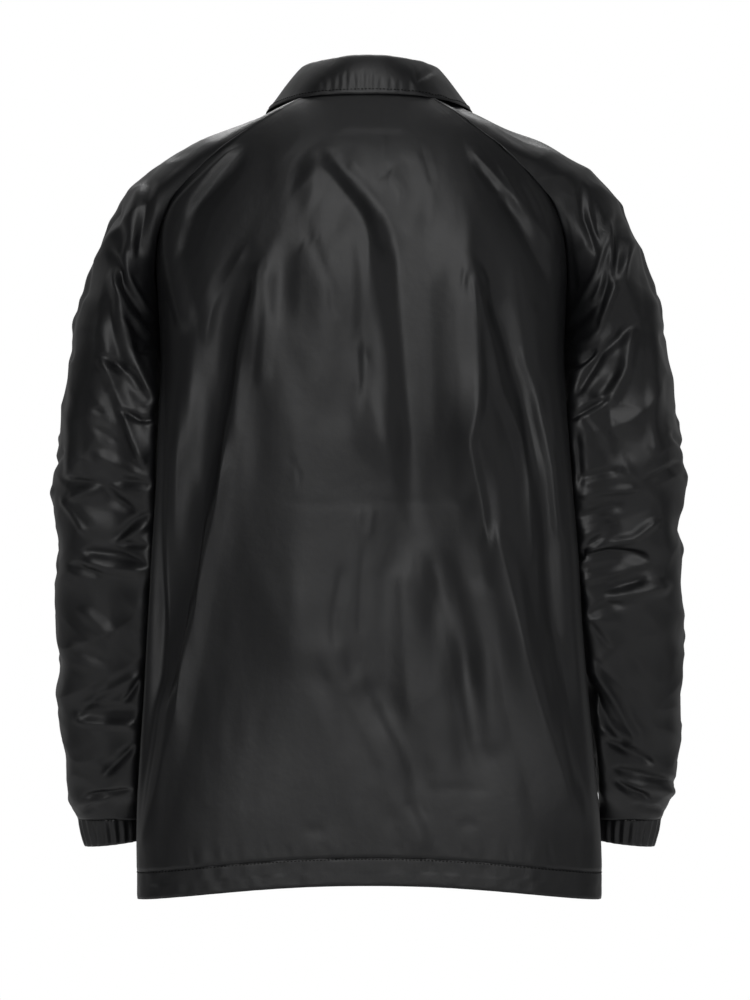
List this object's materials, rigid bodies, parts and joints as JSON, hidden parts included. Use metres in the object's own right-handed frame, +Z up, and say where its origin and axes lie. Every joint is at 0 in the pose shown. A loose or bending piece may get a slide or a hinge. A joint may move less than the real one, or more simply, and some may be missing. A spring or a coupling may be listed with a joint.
{
  "type": "jacket",
  "caption": "Hollow black nylon windbreaker jacket in its worn shape, with raglan sleeves, a turn-down collar, gathered cuffs, a stitched hem and a snap-closed front.",
  "frame": {"origin": "middle of the neck opening, at the height of the neck seam over the shoulders", "axes": "+Z up, the front faces -Y, +X towards the wearer's left"},
  "size_m": [0.5756, 0.2743, 0.7468],
  "materials": {
    "cloth": "black satin-faced nylon",
    "snap": "black enamelled"
  },
  "bodies": {
    "root": {"back": "cloth", "front_left": "cloth", "front_right": "cloth", "sleeve_left": "cloth", "sleeve_right": "cloth", "collar_stand": "cloth", "collar_fall": "cloth", "cuff_left": "cloth", "cuff_right": "cloth", "hem_back": "cloth", "hem_front_left": "cloth", "hem_front_right": "cloth", "snap_1": "snap", "snap_2": "snap", "snap_3": "snap", "snap_4": "snap", "snap_5": "snap"}
  },
  "joints": []
}
